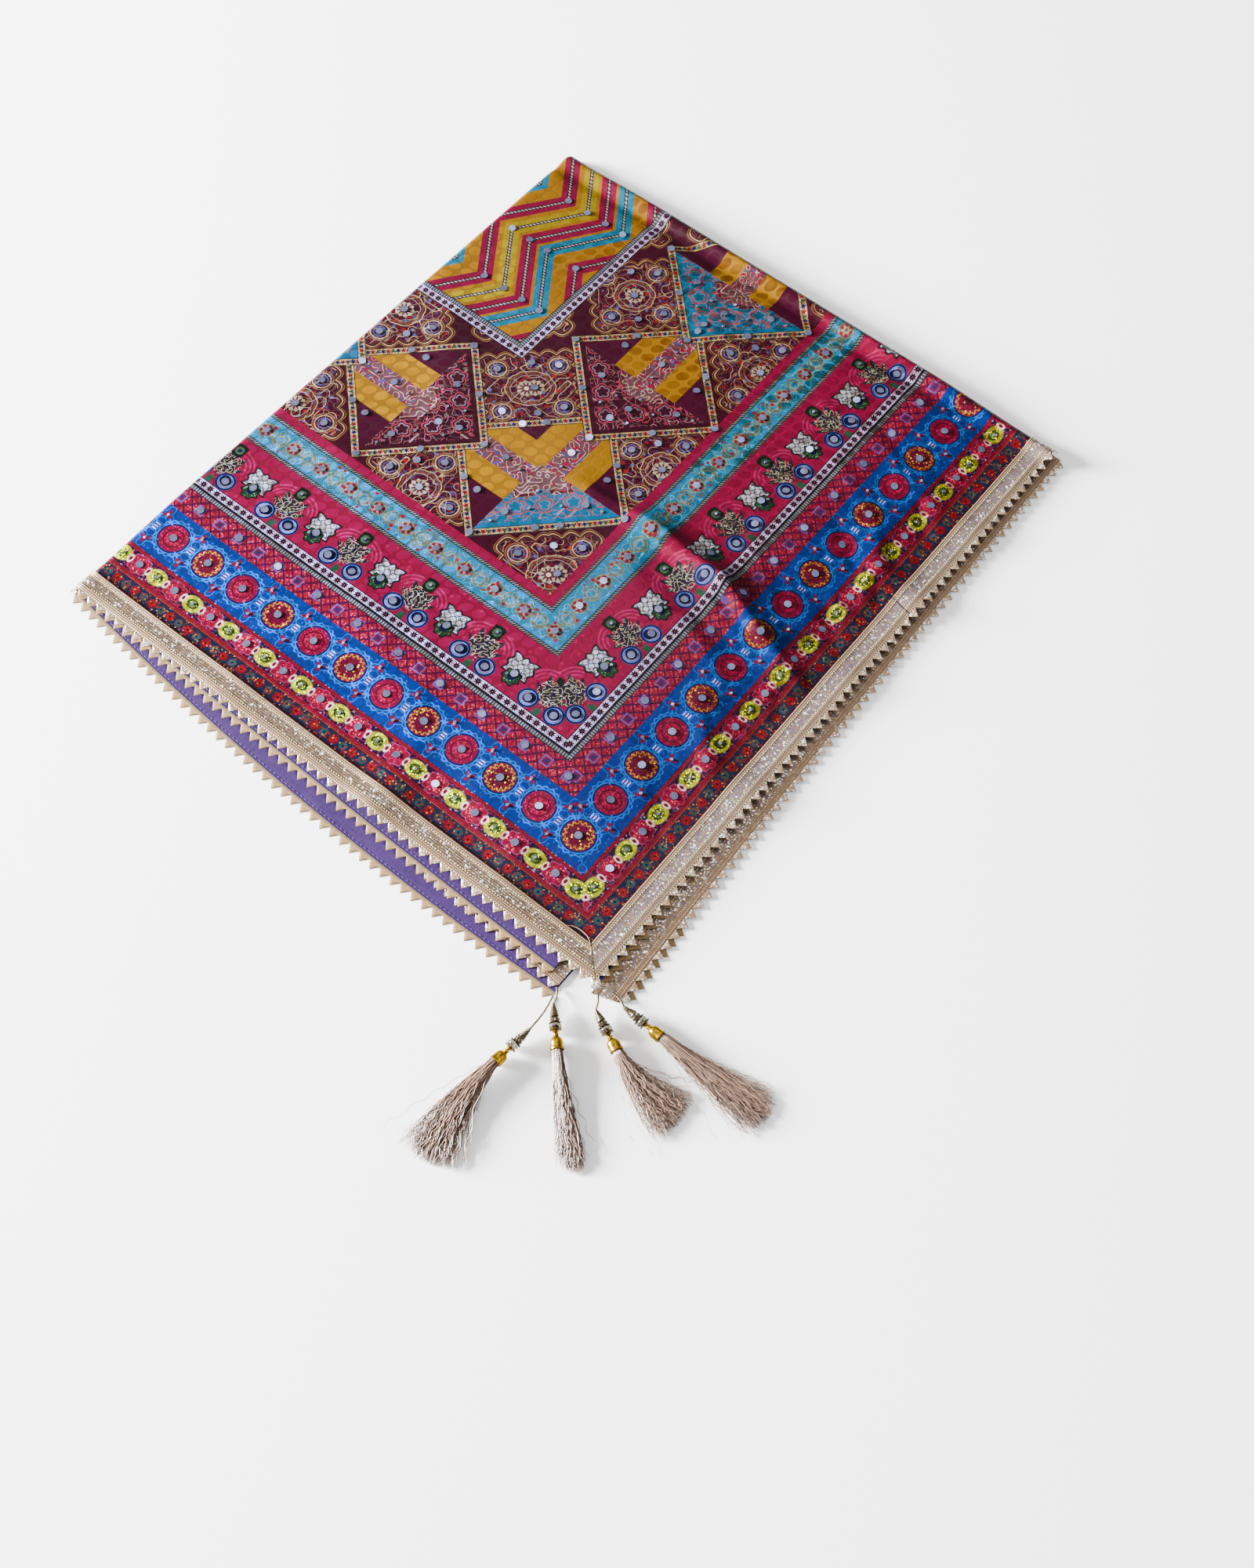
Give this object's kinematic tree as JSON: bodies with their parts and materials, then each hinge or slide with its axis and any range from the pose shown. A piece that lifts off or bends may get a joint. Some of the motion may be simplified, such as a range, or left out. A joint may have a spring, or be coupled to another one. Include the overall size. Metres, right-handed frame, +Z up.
{
  "type": "dupatta stole",
  "caption": "Lined, printed satin dupatta stole with mirror work, a metallic lace border and beaded tassels, folded flat in a rectangle.",
  "frame": {"origin": "middle of the folded pile's flat underside, the tassels left out", "axes": "+Z up out of the pile; +X along the long side, from the open edges with the tassels to the last fold; +Y along the short side, from the open edges to the first fold"},
  "size_m": [0.7022, 0.6027, 0.0155],
  "materials": {
    "printed_satin": "satin with a woven pattern and a printed one, small mirror discs sewn on",
    "lining": "plain slubby taffeta with a soft sheen",
    "metallic_lace": "metallic thread and glitter, sparkling",
    "lace_back": "matt back of the metallic lace",
    "tassel_silk": "soft floss with a silky sheen",
    "polished_gold": "polished gold plating",
    "antique_gold": "darkened antique gold with open scrolls",
    "crystal_beads": "faceted clear glass between metal rings",
    "metallic_cord": "twisted metallic yarn"
  },
  "bodies": {
    "root": {"bottom_lace_across": "lace_back", "bottom_lace_along": "lace_back", "bottom_layer": "lining", "folded_layers": "printed_satin", "middle_lace_across": "metallic_lace", "middle_lace_along": "metallic_lace", "middle_layer": "printed_satin", "printed_panel": "printed_satin", "tassel_1_beads": "crystal_beads", "tassel_1_cap": "polished_gold", "tassel_1_cone": "antique_gold", "tassel_1_cord": "metallic_cord", "tassel_1_silk": "tassel_silk", "tassel_2_beads": "crystal_beads", "tassel_2_cap": "polished_gold", "tassel_2_cone": "antique_gold", "tassel_2_cord": "metallic_cord", "tassel_2_silk": "tassel_silk", "tassel_3_beads": "crystal_beads", "tassel_3_cap": "polished_gold", "tassel_3_cone": "antique_gold", "tassel_3_cord": "metallic_cord", "tassel_3_silk": "tassel_silk", "tassel_4_beads": "crystal_beads", "tassel_4_cap": "polished_gold", "tassel_4_cone": "antique_gold", "tassel_4_cord": "metallic_cord", "tassel_4_silk": "tassel_silk", "top_lace_across": "metallic_lace", "top_lace_along": "metallic_lace", "upper_lace_across": "lace_back", "upper_lace_along": "lace_back", "upper_layer": "lining"}
  },
  "joints": []
}
